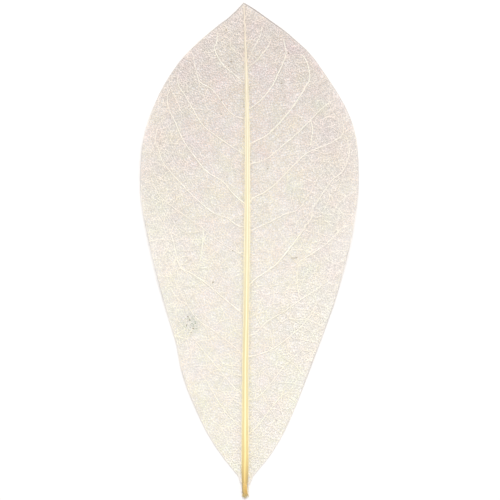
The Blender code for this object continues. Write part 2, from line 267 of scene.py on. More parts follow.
sideVeinValues = {
    "endWidth": 0.36,
    "taper": 0.8,
    "thickness": 0.63,
    "wander": 0.10,
    "flare": 0.1,
    "flareReach": 1.1,
    "clearFrom": 0.42,
    "faintRise": 0.45,
    "footShade": 0.3,
    "footShare": 0.3,
    "footHeight": 0.13,
    "height": 0.26,
    "step": 0.55,
    "sides": 8,
    "left": [
        (0.34, 0.40, [(-0.9, 55.9), (-2.5, 59.1), (-4.0, 60.1), (-5.6, 61.6), (-5.8, 63.5),
                      (-7.3, 64.7)]),
        (0.38, 1.00, [(-0.8, 50.4), (-2.3, 51.4), (-4.8, 53.5), (-8.3, 56.6), (-10.6, 61.0),
                      (-10.0, 62.6), (-9.6, 65.8)]),
        (0.48, 0.60, [(-0.6, 39.5), (-2.2, 40.0), (-4.6, 40.8), (-6.9, 42.9), (-8.9, 45.8), (-11.5, 48.9),
                      (-15.0, 51.0), (-16.1, 54.4), (-17.0, 58.5)]),
        (0.50, 0.60, [(-0.6, 28.6), (-5.2, 31.3), (-9.8, 34.5), (-13.8, 37.6), (-16.2, 41.1),
                      (-19.1, 46.3), (-21.4, 49.8), (-21.7, 52.7)]),
        (0.54, 0.55, [(-0.6, 13.5), (-4.6, 16.8), (-8.0, 20.8), (-12.7, 23.7), (-16.2, 27.8),
                      (-20.2, 33.6), (-22.5, 38.8), (-24.6, 43.4), (-24.8, 46.9), (-23.9, 49.2)]),
        (0.48, 0.38, [(-0.6, 6.8), (-3.9, 7.7), (-6.8, 9.8), (-10.8, 11.3), (-15.8, 15.3), (-20.9, 20.4),
                      (-26.0, 26.4), (-27.5, 30.5), (-28.5, 33.0), (-28.0, 36.5)]),
        (0.42, 0.00, [(-0.9, -2.3), (-2.7, -1.1), (-5.8, 0.6), (-9.6, 3.0), (-14.8, 7.2), (-19.9, 10.8),
                      (-27.0, 16.3), (-30.0, 22.4)]),
        (0.50, 0.20, [(-0.9, -20.1), (-4.8, -17.0), (-8.0, -14.3), (-12.7, -10.3), (-17.9, -6.8),
                      (-20.3, -5.8), (-21.7, -3.5), (-22.6, 0.9), (-24.0, 5.5)]),
        (0.40, 0.05, [(-1.1, -32.3), (-4.8, -29.0), (-10.3, -24.7), (-16.1, -20.5), (-20.5, -13.5)]),
        (0.44, 0.05, [(-1.2, -44.1), (-4.8, -41.3), (-8.9, -36.4), (-12.7, -32.0), (-16.1, -27.7)]),
        (0.38, 0.30, [(-1.2, -54.5), (-5.6, -50.8), (-9.6, -45.5), (-13.0, -39.5)]),
    ],
    "right": [
        (0.34, 0.70, [(-0.6, 57.1), (1.4, 61.6), (2.5, 63.5), (3.3, 65.1), (3.8, 67.6)]),
        (0.38, 0.80, [(-0.6, 55.3), (2.2, 57.5), (3.5, 59.1), (5.6, 61.6), (6.1, 62.9)]),
        (0.50, 1.00, [(-0.5, 42.9), (0.4, 43.1), (3.5, 45.6), (5.5, 47.9), (7.4, 50.8), (8.7, 53.7),
                      (10.1, 56.6), (11.1, 59.5), (10.9, 61.1), (10.4, 63.8)]),
        (0.56, 1.00, [(-0.5, 32.0), (5.4, 35.0), (10.4, 40.1), (13.9, 44.6), (17.0, 49.6), (18.3, 52.2),
                      (17.5, 56.7), (16.0, 59.2)]),
        (0.52, 0.62, [(-0.3, 25.9), (1.3, 26.4), (5.4, 27.9), (10.4, 32.0), (14.5, 35.5), (18.5, 39.5),
                      (21.5, 42.6), (24.0, 44.6)]),
        (0.56, 0.45, [(-0.5, 13.5), (1.0, 15.7), (4.9, 17.8), (8.4, 20.6), (10.2, 22.5), (13.5, 25.9),
                      (17.7, 29.6), (22.8, 31.7), (25.5, 33.0), (28.1, 35.0), (28.6, 38.0)]),
        (0.46, 0.10, [(-0.6, 5.6), (5.4, 8.2), (10.4, 10.8), (14.5, 12.3), (18.0, 17.0), (21.0, 22.5)]),
        (0.56, 0.42, [(-0.6, -11.1), (1.9, -8.6), (5.4, -6.3), (8.4, -3.9), (11.2, -0.7), (14.9, 4.2),
                      (17.0, 7.4), (18.8, 10.0), (19.1, 13.0), (20.5, 14.8), (24.6, 20.8), (28.3, 24.1),
                      (30.2, 29.4), (29.5, 34.1)]),
        (0.48, 0.00, [(-0.8, -25.9), (1.8, -25.1), (5.4, -21.6), (10.4, -18.5), (15.5, -15.0),
                      (18.5, -13.0), (21.5, -11.0), (24.0, -6.9), (25.5, -3.9)]),
        (0.50, 0.00, [(-0.9, -32.3), (2.3, -31.7), (7.4, -29.6), (13.4, -25.1), (17.5, -21.1),
                      (20.5, -16.0)]),
        (0.42, 0.10, [(-1.2, -45.3), (2.8, -44.3), (7.4, -39.2), (10.4, -35.2), (16.0, -30.1)]),
        (0.36, 0.80, [(-1.2, -56.5), (2.6, -53.0), (6.0, -48.6), (10.0, -43.6)]),
    ],
    "branches": [
        (0.40, 0.30, [(15.5, -15.0), (14.6, -11.5), (14.5, -7.9), (15.5, -3.5), (20.0, -0.4), (24.5, 3.0),
                      (26.9, 5.8), (28.8, 7.4)]),
        (0.34, 1.00, [(18.5, 39.5), (19.1, 36.5), (18.5, 32.0)]),
        (0.32, 1.00, [(-13.9, 6.2), (-14.3, 1.1), (-14.9, -2.9)]),
    ],
}


def veinPaths():
    paths = []
    for side, key in ((-1.0, "left"), (1.0, "right"), (0.0, "branches")):
        for width, strength, points in sideVeinValues[key]:
            line = smoothLine(points, sideVeinValues["step"])
            if side:
                y = line[0].y
                foot = sideVeinValues["footShare"] * midribWidth(y)
                line[0] = Vector((midribX(y) + side * foot, y))
            paths.append((width, strength, line, bool(side)))
    return paths


sideVeinPaths = veinPaths()


def sideVeinLines():
    faintRise, footShade = sideVeinValues["faintRise"], sideVeinValues["footShade"]
    lines = []
    for width, strength, path, fromMidrib in sideVeinPaths:
        line = []
        along = 0.0
        for k, place in enumerate(path):
            if k:
                along += (place - path[k - 1]).length
            share = k / (len(path) - 1)
            size = width + (sideVeinValues["endWidth"] - width) * share ** sideVeinValues["taper"]
            if fromMidrib:
                size *= 1.0 + sideVeinValues["flare"] * math.exp(-along / sideVeinValues["flareReach"])
            size *= sideVeinValues["thickness"]
            uneven = noise.noise(Vector((place.x * 1.3, place.y * 1.3, 4.0)))
            size *= 1.0 + sideVeinValues["wander"] * uneven
            outward = min(1.0, share / sideVeinValues["clearFrom"]) if fromMidrib else 1.0
            raised = outward * (faintRise + (1.0 - faintRise) * min(1.0, strength * 1.6))
            lift = sideVeinValues["footHeight"] * (1.0 - raised) + sideVeinValues["height"] * raised
            spot = place * mm
            height = restHeight(spot) + max(lift * mm, size * 0.5 * mm)
            shade = strength * (footShade + (1.0 - footShade) * outward)
            line.append((Vector((spot.x, spot.y, height)), size * 0.5 * mm, shade))
        lines.append(line)
    return lines


# Cells between the cross veins: laid out between the outline, the midrib and the side veins.

cellValues = {
    "spacing": 3.1,
    "rowShare": 0.866,
    "halfWidth": 34.0,
    "jitter": 0.75,
    "clear": 1.9,
    "rimStep": 2.7,
    "veinStep": 2.7,
    "midribStep": 2.9,
    "midribFrom": -70.0,
    "midribShort": 2.0,
    "joinAngle": 75.0,
    "shortest": 0.45,
    "bend": 0.09,
    "seed": 21,
}


def insideRim(point):
    return underside(point.x * mm, point.y * mm) is not None


def underMidrib(centre):
    covered = midribValues["covers"] * midribWidth(centre.y)
    return abs(centre.x - midribX(centre.y)) < covered and centre.y < midribValues["top"]


def treeOf(points):
    tree = kdtree.KDTree(len(points))
    for k, point in enumerate(points):
        tree.insert((point.x, point.y, 0.0), k)
    tree.balance()
    return tree


def rimLine(step):
    rim = [p / mm for p in leafRim]
    return evenLine(rim + [rim[0]], step)


def layCells():
    chance = random.Random(cellValues["seed"])
    points, lines = [], []

    def addLine(line, closed=False):
        first = len(points)
        points.extend(line)
        lines.extend((first + k, first + k + 1) for k in range(len(line) - 1))
        if closed:
            lines.append((len(points) - 1, first))

    addLine(rimLine(cellValues["rimStep"])[:-1], closed=True)
    for side in (-1.0, 1.0):
        foot = []
        y = cellValues["midribFrom"]
        while y < midribValues["top"] - cellValues["midribShort"]:
            foot.append(Vector((midribX(y) + side * midribValues["covers"] * midribWidth(y), y)))
            y += cellValues["midribStep"]
        addLine(foot)
    for _, _, path, _ in sideVeinPaths:
        addLine([p for p in evenLine(path, cellValues["veinStep"]) if insideRim(p)])
    taken = treeOf(points)
    spacing = cellValues["spacing"]
    row = 0
    y = stalkEnd
    while y < tipEnd:
        x = -cellValues["halfWidth"] + spacing * 0.5 * (row % 2)
        while x < cellValues["halfWidth"]:
            point = Vector((x + chance.uniform(-1, 1) * cellValues["jitter"],
                            y + chance.uniform(-1, 1) * cellValues["jitter"]))
            if insideRim(point) and taken.find((point.x, point.y, 0.0))[2] > cellValues["clear"]:
                points.append(point)
            x += spacing
        y += spacing * cellValues["rowShare"]
        row += 1
    coords, edges, faces, _, edgeOrigin, _ = delaunay_2d_cdt(points, lines, [], 1, 1e-4)
    web = bmesh.new()
    corners = [web.verts.new((p.x, p.y, 0.0)) for p in coords]
    for face in faces:
        web.faces.new([corners[i] for i in face])
    drawn = {frozenset(edge) for edge, source in zip(edges, edgeOrigin) if source}
    web.verts.index_update()
    for edge in web.edges:
        edge.smooth = frozenset((edge.verts[0].index, edge.verts[1].index)) not in drawn
    bmesh.ops.join_triangles(web, faces=web.faces, cmp_sharp=True, angle_face_threshold=math.pi,
                             angle_shape_threshold=math.radians(cellValues["joinAngle"]))
    bmesh.ops.remove_doubles(web, verts=web.verts, dist=cellValues["shortest"])
    hidden = [f for f in web.faces if underMidrib(f.calc_center_median())]
    bmesh.ops.delete(web, geom=hidden, context="FACES")
    free = [e for e in web.edges if e.smooth and len(e.link_faces) == 2]
    asides = {}
    for edge in free:
        a, b = edge.verts
        run = b.co - a.co
        aside = Vector((-run.y, run.x, 0.0)) * cellValues["bend"] * chance.uniform(-1, 1)
        middle = (a.co + b.co) / 2.0
        asides[(round(middle.x, 4), round(middle.y, 4))] = aside
    parted = bmesh.ops.bisect_edges(web, edges=free, cuts=1)
    for item in parted["geom_split"]:
        if isinstance(item, bmesh.types.BMVert):
            aside = asides.get((round(item.co.x, 4), round(item.co.y, 4)))
            if aside is not None:
                item.co += aside
                item.tag = True
    return web


cellWeb = layCells()
print("cells laid out:", len(cellWeb.faces))


# The fine net: even meshes drawn between scattered seeds, with a stronger thread round each group.
# Each band is a piece, from the height given up to the band above it.

netValues = {
    "bands": [("netTip", 43.0), ("netShoulder", 24.0), ("netMiddle", 6.0), ("netLower", -18.0),
              ("netBase", -80.0)],
    "halfField": (35.0, 76.5),
    "spacing": 0.58,
    "tries": 120000,
    "evenings": 3,
    "lean": 50.0,
    "stretch": 1.12,
    "groupSpacing": 1.9,
    "groupTries": 9000,
    "thin": 0.172,
    "strong": 0.184,
    "veinlet": 0.105,
    "uneven": 0.16,
    "bridged": 0.75,
    "tipWidth": 1.26,
    "widensFrom": -10.0,
    "widensOver": 60.0,
    "shortest": 0.03,
    "rimReach": 1.3,
    "rimStep": 0.6,
    "pastMidrib": 0.06,
    "height": 0.16,
    "heightSpread": 0.03,
    "waves": 0.9,
    "sides": 5,
    "seed": 5,
}


def scatterSeeds(chance, spacing, tries, wanted, turned):
    # scattered points, none nearer to another than the spacing
    halfWidth, halfLength = netValues["halfField"]
    taken = {}
    seeds = []
    for _ in range(tries):
        place = Vector((chance.uniform(-halfWidth, halfWidth), chance.uniform(-halfLength, halfLength)))
        if not wanted(place):
            continue
        point = turned(place)
        column, row = int(point.x // spacing), int(point.y // spacing)
        near = [taken.get((column + i, row + j)) for i in (-1, 0, 1) for j in (-1, 0, 1)]
        near += [taken.get((column + i, row + j)) for i, j in ((-2, 0), (2, 0), (0, -2), (0, 2))]
        if all(other is None or (other - point).length > spacing for other in near):
            taken[(column, row)] = point
            seeds.append(point)
    return seeds


def evenOut(seeds):
    # moves each seed towards the middle of its neighbours
    for _ in range(netValues["evenings"]):
        coords, _, triangles, _, _, _ = delaunay_2d_cdt(seeds, [], [], 0, 1e-5)
        total = [Vector((0.0, 0.0)) for _ in coords]
        weight = [0.0 for _ in coords]
        for a, b, c in triangles:
            middle = (coords[a] + coords[b] + coords[c]) / 3.0
            area = abs((coords[b] - coords[a]).cross(coords[c] - coords[a]))
            for corner in (a, b, c):
                total[corner] += middle * area
                weight[corner] += area
        seeds = [total[k] / weight[k] if weight[k] > 0.0 else coords[k] for k in range(len(coords))]
    return seeds


rimTree = treeOf(rimLine(netValues["rimStep"]))


def layNet(side):
    # one half's net. The middles of the triangles between seeds are its knots, neighbours are tied
    # together, and the meshes are a little longer along the side veins than across them
    chance = random.Random(netValues["seed"] + side)
    lean = math.radians(netValues["lean"])
    along = Vector((side * math.cos(lean), math.sin(lean)))
    across = Vector((-along.y, along.x))
    stretch = netValues["stretch"]

    def wanted(p):
        if side * (p.x - midribX(p.y)) < -netValues["rimReach"]:
            return False
        return insideRim(p) or rimTree.find((p.x, p.y, 0.0))[2] < netValues["rimReach"]

    def turned(p):
        return Vector((p.dot(across) * stretch, p.dot(along) / stretch))

    def turnedBack(p):
        return across * (p.x / stretch) + along * (p.y * stretch)

    seeds = evenOut(scatterSeeds(chance, netValues["spacing"], netValues["tries"], wanted, turned))
    middles = scatterSeeds(chance, netValues["groupSpacing"], netValues["groupTries"], wanted, turned)
    groups = treeOf(middles)
    owner = [groups.find((p.x, p.y, 0.0))[1] for p in seeds]
    coords, _, triangles, origin, _, _ = delaunay_2d_cdt(seeds, [], [], 0, 1e-5)
    owner = [owner[came[0]] for came in origin]
    knots = [turnedBack((coords[a] + coords[b] + coords[c]) / 3.0) for a, b, c in triangles]
    beside = {}
    for k, (a, b, c) in enumerate(triangles):
        for pair in ((a, b), (b, c), (c, a)):
            beside.setdefault(frozenset(pair), []).append(k)
    ties = [(pair[0], pair[1], len({owner[i] for i in sides}) > 1)
            for sides, pair in beside.items() if len(pair) == 2]
    strongTies = [[] for _ in knots]
    for a, b, strong in ties:
        if strong:
            strongTies[a].append(b)
            strongTies[b].append(a)
    eased = list(knots)
    for k, near in enumerate(strongTies):
        if len(near) == 2:
            eased[k] = knots[k] * 0.4 + (knots[near[0]] + knots[near[1]]) * 0.3
    return eased, ties, layVeinlets(chance, eased, triangles)


def layVeinlets(chance, knots, triangles):
    # the finest threads, one across each mesh
    around = {}
    for k, corners in enumerate(triangles):
        for corner in corners:
            around.setdefault(corner, []).append(k)
    veinlets = []
    for seed in sorted(around):
        ring = around[seed]
        if len(ring) < 4:
            continue
        root = knots[chance.choice(ring)]
        far = sorted((knots[k] for k in ring), key=lambda knot: -(knot - root).length)
        end = far[0].lerp(far[1], chance.uniform(0.2, 0.8))
        if chance.random() > netValues["bridged"]:
            end = root.lerp(end, chance.uniform(0.4, 0.7))
        veinlets.append((root, end))
    return veinlets


def whereItEnds(inner, outer, holds):
    # the place between two knots where the thread meets the margin or the midrib
    low, high = 0.0, 1.0
    for _ in range(7):
        middle = (low + high) / 2.0
        if holds(inner.lerp(outer, middle)):
            low = middle
        else:
            high = middle
    return inner.lerp(outer, low)


def raiseThread(path, width, height):
    line = []
    for place in path:
        spot = place * mm
        wave = noise.noise(Vector((place.x * netValues["waves"], place.y * netValues["waves"], 0.0)))
        level = restHeight(spot) + (height + wave * netValues["heightSpread"]) * mm
        line.append((Vector((spot.x, spot.y, level)), width * 0.5 * mm))
    return line


def netRegions():
    regions = {name: [] for name, _ in netValues["bands"]}

    def addThread(first, second, width):
        if (second - first).length < netValues["shortest"]:
            return
        toTip = clamp((first.y - netValues["widensFrom"]) / netValues["widensOver"])
        width *= 1.0 + (netValues["tipWidth"] - 1.0) * toTip
        name = next(name for name, lowest in netValues["bands"] if first.y > lowest)
        regions[name].append(([first, second], width))

    for side in (-1, 1):
        def holds(p):
            return insideRim(p) and side * (p.x - midribX(p.y)) > -netValues["pastMidrib"]

        knots, ties, veinlets = layNet(side)
        inside = [holds(knot) for knot in knots]
        covered = [underMidrib(knot) for knot in knots]
        for a, b, strong in ties:
            if not (inside[a] or inside[b]) or (covered[a] and covered[b]):
                continue
            first, second = knots[a], knots[b]
            if not inside[a]:
                first = whereItEnds(second, first, holds)
            if not inside[b]:
                second = whereItEnds(first, second, holds)
            width = netValues["strong"] if strong else netValues["thin"]
            uneven = netValues["uneven"] * noise.noise(Vector((first.x, first.y, 3.0)))
            addThread(first, second, width * (1.0 + uneven))
        for root, end in veinlets:
            if holds(root) and holds(end) and not underMidrib(root) and not underMidrib(end):
                addThread(root, end, netValues["veinlet"])
    return regions


pieces = {}
for regionName, regionThreads in netRegions().items():
    netLines = [raiseThread(path, width, netValues["height"]) for path, width in regionThreads]
    pieces[regionName] = makeThreads(regionName, netLines, netValues["sides"])
    print("net piece", regionName, len(netLines), "threads")


# Cross veins: the borders of the cells

crossVeinValues = {
    "width": 0.18,
    "tipWidth": 0.165,
    "tipFrom": 40.0,
    "uneven": (0.75, 1.2),
    "height": 0.15,
    "sides": 6,
    "seed": 11,
}


def crossVeinLines():
    chance = random.Random(crossVeinValues["seed"])
    lines = []
    for middle in cellWeb.verts:
        if not middle.tag:
            continue
        a, b = [edge.other_vert(middle).co.xy for edge in middle.link_edges]
        width = crossVeinValues["width" if a.y < crossVeinValues["tipFrom"] else "tipWidth"]
        width *= chance.uniform(*crossVeinValues["uneven"])
        lines.append(raiseThread([a, middle.co.xy, b], width, crossVeinValues["height"]))
    return lines


pieces["crossVeins"] = makeThreads("crossVeins", crossVeinLines(), crossVeinValues["sides"])
pieces["sideVeins"] = makeThreads("sideVeins", sideVeinLines(), sideVeinValues["sides"])
print("cross veins and side veins made")


# Margin vein: the strong thread that hems the blade

marginValues = {
    "width": 0.24,
    "tipWidth": 0.34,
    "widensFrom": 56.0,
    "widensOver": 12.0,
    "bladeEnd": -70.9,
    "step": 0.6,
    "height": 0.16,
    "inset": 0.10,
    "sides": 6,
}


def marginLine():
    line = [p for p in rimLine(marginValues["step"]) if p.y > marginValues["bladeEnd"]]
    split = max(range(len(line)), key=lambda k: (line[k] - line[k - 1]).length)
    ordered = line[split:] + line[:split]
    centred = []
    for k, place in enumerate(ordered):
        before = ordered[max(0, k - 1)]
        after = ordered[min(len(ordered) - 1, k + 1)]
        run = (after - before).normalized()
        inward = Vector((run.y, -run.x))
        if not insideRim(place + inward * 3.0 * marginValues["inset"]):
            inward = -inward
        centred.append(place + inward * marginValues["inset"])
    wider = marginValues["tipWidth"] / marginValues["width"] - 1.0
    widened = []
    for place, size in raiseThread(centred, marginValues["width"], marginValues["height"]):
        toTip = clamp((place.y / mm - marginValues["widensFrom"]) / marginValues["widensOver"])
        widened.append((place, size * (1.0 + wider * toTip)))
    return widened


pieces["marginVein"] = makeThreads("marginVein", [marginLine()], marginValues["sides"])
print("margin vein made")


# Midrib: lofted ring by ring from the cut end to the tip

def cutEnd(x, y):
    # the stalk is cut ragged: its left side ends first
    toEnd = clamp((stalkEnd + midribValues["cutLength"] - y) / midribValues["cutLength"])
    left = clamp(0.5 - (x - midribX(y)) / midribValues["baseWidth"])
    ragged = midribValues["cutRagged"] * noise.noise(Vector((x * 4.1, 0.0, 7.0)))
    return y + toEnd * toEnd * (midribValues["cutSlant"] * left * left + 1.0 + ragged)


def midribRing(y):
    # a low round section, flat below, with a middle ridge and a cord to each side
    width = midribWidth(y)
    tall = midribValues["sheet"] + midribValues["rise"] * width
    middle = midribValues["middleHeight"]
    sides = midribValues["sides"]
    ring = []
    for k in range(sides):
        angle = 2.0 * math.pi * k / sides
        lobes = 1.0 + midribValues["lobes"] * math.cos(4.0 * (angle - math.pi / 2.0))
        spot = Vector((math.cos(angle) * 3.0, math.sin(angle) * 3.0, y * 0.25))
        lobes *= 1.0 + midribValues["wander"] * noise.noise(spot)
        x = 0.5 * width * math.cos(angle) * lobes
        z = middle * tall + (1.0 - middle) * tall * math.sin(angle) * lobes
        ring.append(Vector((midribX(y) + x, cutEnd(midribX(y) + x, y), max(0.0, z))))
    return ring


def makeMidrib():
    body = bmesh.new()
    uv = body.loops.layers.uv.new("UVMap")
    length = midribValues["top"] - stalkEnd
    count = int(length / midribValues["step"])
    rows = [midribRing(stalkEnd + length * k / count) for k in range(count + 1)]
    sides = midribValues["sides"]
    ringVerts = bmesh.ops.create_circle(body, cap_ends=True, segments=sides, radius=1.0)["verts"]
    for corner, place in zip(ringVerts, rows[0]):
        corner.co = place
    edges = list(body.edges)
    across = {corner: k for k, corner in enumerate(ringVerts)}
    level = {corner: 0 for corner in ringVerts}
    for r in range(1, len(rows)):
        grown = bmesh.ops.extrude_edge_only(body, edges=edges)
        fresh = [item for item in grown["geom"] if isinstance(item, bmesh.types.BMVert)]
        edges = [item for item in grown["geom"] if isinstance(item, bmesh.types.BMEdge)
                 and item.verts[0] in fresh and item.verts[1] in fresh]
        for corner in fresh:
            around = [edge.other_vert(corner) for edge in corner.link_edges]
            across[corner] = next(across[other] for other in around if other in level)
        for corner in fresh:
            level[corner] = r
            corner.co = rows[r][across[corner]]
    bmesh.ops.contextual_create(body, geom=edges)
    bmesh.ops.recalc_face_normals(body, faces=body.faces)
    for face in body.faces:
        places = [across[c] for c in face.verts]
        wraps = max(places) - min(places) > sides / 2
        for loop in face.loops:
            u = across[loop.vert]
            if wraps and u < sides / 2:
                u += sides
            loop[uv].uv = (u / sides, level[loop.vert] / len(rows))
    height = {}
    for corner in body.verts:
        x, y = corner.co.x * mm, corner.co.y * mm
        row = level[corner]
        if row not in height:
            height[row] = restHeight(Vector((midribX(corner.co.y) * mm, y)))
        corner.co = Vector((x, y, corner.co.z * mm + height[row]))
    mesh = bpy.data.meshes.new("midrib")
    body.to_mesh(mesh)
    body.free()
    return placePiece("midrib", mesh)


pieces["midrib"] = makeMidrib()
print("midrib made")


# Stalk fibres: the loose ends at the cut, each with its start, end and width, and the long cords on
# the midrib's flanks, each with its side, where it starts and ends, and how high it sits.

stalkValues = {
    "ends": [
        ((-1.82, -70.8, 0.66), (-1.92, -74.7, 0.44), 0.24),
        ((-1.68, -70.4, 0.88), (-1.75, -74.6, 0.66), 0.26),
        ((-1.52, -70.6, 1.02), (-1.54, -74.5, 0.82), 0.26),
        ((-1.34, -70.2, 1.08), (-1.36, -74.9, 0.86), 0.28),
        ((-1.17, -70.6, 1.02), (-1.17, -75.0, 0.82), 0.26),
        ((-1.01, -70.4, 0.90), (-0.97, -74.9, 0.66), 0.26),
        ((-0.87, -70.9, 0.70), (-0.76, -74.3, 0.46), 0.24),
        ((-0.87, -72.9, 0.52), (-0.25, -74.6, 0.32), 0.24),
        ((-0.83, -72.4, 0.42), (-0.48, -74.2, 0.24), 0.18),
        ((-1.85, -71.4, 0.46), (-2.05, -74.5, 0.26), 0.20),
        ((-1.66, -71.6, 0.52), (-1.68, -74.6, 0.32), 0.26),
        ((-1.43, -71.6, 0.54), (-1.43, -75.0, 0.36), 0.30),
        ((-1.20, -71.6, 0.54), (-1.22, -75.0, 0.34), 0.30),
        ((-0.99, -71.6, 0.50), (-0.94, -74.7, 0.28), 0.26),
        ((-1.27, -71.0, 0.90), (-1.27, -74.9, 0.64), 0.34),
        ((-1.57, -71.0, 0.78), (-1.59, -74.6, 0.52), 0.30),
    ],
    "flanks": [(-1, -71.0, -38.0, 0.50), (1, -71.5, -44.0, 0.50), (-1, -70.0, -15.0, 0.22),
               (1, -70.0, -20.0, 0.22), (-1, -71.5, 20.0, -0.1), (1, -72.0, 30.0, -0.1),
               (-1, -69.5, -8.0, -0.5), (1, -70.5, 4.0, -0.5), (-1, -67.0, 66.0, -0.9),
               (1, -68.0, 62.0, -0.9), (-1, -20.0, 50.0, -1.9), (1, -14.0, 54.0, -1.9)],
    "endBow": (0.08, 0.05),
    "endTaper": 0.35,
    "endParts": 6,
    "flankWidth": 0.21,
    "flankStep": 1.1,
    "flankWander": 0.03,
    "sides": 6,
    "seed": 3,
}


def stalkLines():
    chance = random.Random(stalkValues["seed"])
    bowAside, bowUp = stalkValues["endBow"]
    lines = []
    for start, end, width in stalkValues["ends"]:
        bow = Vector((chance.uniform(-bowAside, bowAside), 0.0, chance.uniform(-bowUp, bowUp)))
        line = []
        for k in range(stalkValues["endParts"] + 1):
            t = k / stalkValues["endParts"]
            place = Vector(start).lerp(Vector(end), t) + bow * math.sin(math.pi * t)
            size = width * (1.0 - stalkValues["endTaper"] * t * t)
            line.append((place * mm, size * 0.5 * mm))
        lines.append(line)
    for side, low, high, lift in stalkValues["flanks"]:
        line = []
        count = int((high - low) / stalkValues["flankStep"])
        for k in range(count + 1):
            y = low + (high - low) * k / count
            width = midribWidth(y)
            out = (0.5 - 0.16 * lift) * width
            out += stalkValues["flankWander"] * noise.noise(Vector((y * 0.2, lift * 9.0, side)))
            x = midribX(y) + side * out
            tall = midribValues["sheet"] + midribValues["rise"] * width
            ease = min(1.0, 4.0 * k / count, 4.0 * (count - k) / count)
            size = stalkValues["flankWidth"] * (0.35 + 0.65 * ease) * (0.75 + 0.12 * width)
            height = restHeight(Vector((midribX(y) * mm, y * mm))) / mm
            height += max(0.18 + 0.09 * width, tall * (0.30 + 0.45 * lift))
            line.append((Vector((x, y, height)) * mm, size * 0.5 * mm))
        lines.append(line)
    return lines


pieces["stalkFibres"] = makeThreads("stalkFibres", stalkLines(), stalkValues["sides"])
print("stalk fibres made")


# Specks: small crumbs of dirt caught in the net, where the photo shows them

speckValues = {
    "places": [(-1.0, 73.8), (-7.0, 66.8), (-5.5, 57.2), (-6.3, 55.8), (11.9, 59.8), (9.8, 50.6),
               (-8.5, 45.4), (-1.7, 43.7), (-18.2, 43.4), (-8.5, 41.3), (5.6, 24.8),
               (-6.8, 22.3), (-22.2, 9.0), (-5.0, 0.0), (-11.0, -9.6), (-17.0, -23.6),
               (8.1, -51.6), (-18.1, -21.0), (-17.6, -24.8), (-19.0, -22.6), (-18.6, -20.0)],
    "dash": ((12.7, -2.3), (14.4, -2.2)),
    "dashParts": 6,
    "dashSize": 0.12,
    "size": 0.17,
    "uneven": (0.7, 1.25),
    "lumps": 0.35,
    "flatness": 0.6,
    "height": 0.30,
    "seed": 17,
}


def makeSpecks():
    chance = random.Random(speckValues["seed"])
    crumbs = bmesh.new()
    dash = [Vector(p) for p in speckValues["dash"]]
    parts = speckValues["dashParts"]
    places = [(Vector(p), speckValues["size"]) for p in speckValues["places"]]
    places += [(dash[0].lerp(dash[1], k / parts), speckValues["dashSize"]) for k in range(parts + 1)]
    for place, size in places:
        size *= chance.uniform(*speckValues["uneven"]) * mm
        spot = place * mm
        made = bmesh.ops.create_icosphere(crumbs, subdivisions=2, radius=size)
        height = restHeight(spot) + speckValues["height"] * mm
        for corner in made["verts"]:
            rough = noise.noise(corner.co * 9000.0 + Vector((place.x, place.y, 0.0)))
            lump = 1.0 + speckValues["lumps"] * rough
            low = speckValues["flatness"] * lump
            corner.co = Vector((corner.co.x * lump, corner.co.y * lump, corner.co.z * low))
            corner.co += Vector((spot.x, spot.y, height))
    mesh = bpy.data.meshes.new("specks")
    crumbs.to_mesh(mesh)
    crumbs.free()
    return placePiece("specks", mesh)


pieces["specks"] = makeSpecks()
print("specks made")


# Materials. Colours are given as they look on the leaf and turned into shader values here.

def toLinear(colour):
    def one(value):
        share = value / 255.0
        return share / 12.92 if share <= 0.04045 else ((share + 0.055) / 1.055) ** 2.4
    return tuple(one(value) for value in colour) + (1.0,)


colourAndBump = [("Colour", "NodeSocketColor"), ("Bump", "NodeSocketFloat")]


def newGroup(name, outputs, inputs=()):
    group = bpy.data.node_groups.new(name, "ShaderNodeTree")
    for label, kind in inputs:
        group.interface.new_socket(name=label, in_out="INPUT", socket_type=kind)
    for label, kind in outputs:
        group.interface.new_socket(name=label, in_out="OUTPUT", socket_type=kind)
    return group, group.nodes.new("NodeGroupInput"), group.nodes.new("NodeGroupOutput")


def useGroup(tree, group):
    node = tree.nodes.new("ShaderNodeGroup")
    node.node_tree = group
    return node


def feed(group, socket, source):
    # a socket takes either a plain value or another node's output
    if isinstance(source, (float, tuple)):
        socket.default_value = source
    else:
        group.links.new(source, socket)


def calculate(group, operation, *sources):
    node = group.nodes.new("ShaderNodeMath")
    node.operation = operation
    for socket, source in zip(node.inputs, sources):
        feed(group, socket, source)
    return node.outputs[0]


def mapRange(group, source, low, high, toLow, toHigh, smooth=False):
    node = group.nodes.new("ShaderNodeMapRange")
    node.interpolation_type = "SMOOTHSTEP" if smooth else "LINEAR"
    node.inputs["From Min"].default_value = low
    node.inputs["From Max"].default_value = high
    node.inputs["To Min"].default_value = toLow
    node.inputs["To Max"].default_value = toHigh
    group.links.new(source, node.inputs["Value"])
    return node.outputs["Result"]


def mixColours(group, factor, first, second, blend="MIX"):
    node = group.nodes.new("ShaderNodeMix")
    node.data_type = "RGBA"
    node.blend_type = blend
    node.clamp_result = False
    feed(group, node.inputs["Factor"], factor)
    for label, source in (("A", first), ("B", second)):
        feed(group, next(s for s in node.inputs if s.name == label and s.type == "RGBA"), source)
    return next(s for s in node.outputs if s.type == "RGBA")


def shadeBy(group, colour, level):
    # the colour made darker or lighter by one grey level
    grey = group.nodes.new("ShaderNodeCombineColor")
    for label in ("Red", "Green", "Blue"):
        group.links.new(level, grey.inputs[label])
    return mixColours(group, 1.0, colour, grey.outputs["Color"], "MULTIPLY")


def noiseIn(group, place, scale, detail, roughness):
    node = group.nodes.new("ShaderNodeTexNoise")
    node.inputs["Scale"].default_value = scale
    node.inputs["Detail"].default_value = detail
    node.inputs["Roughness"].default_value = roughness
    group.links.new(place, node.inputs["Vector"])
    return node


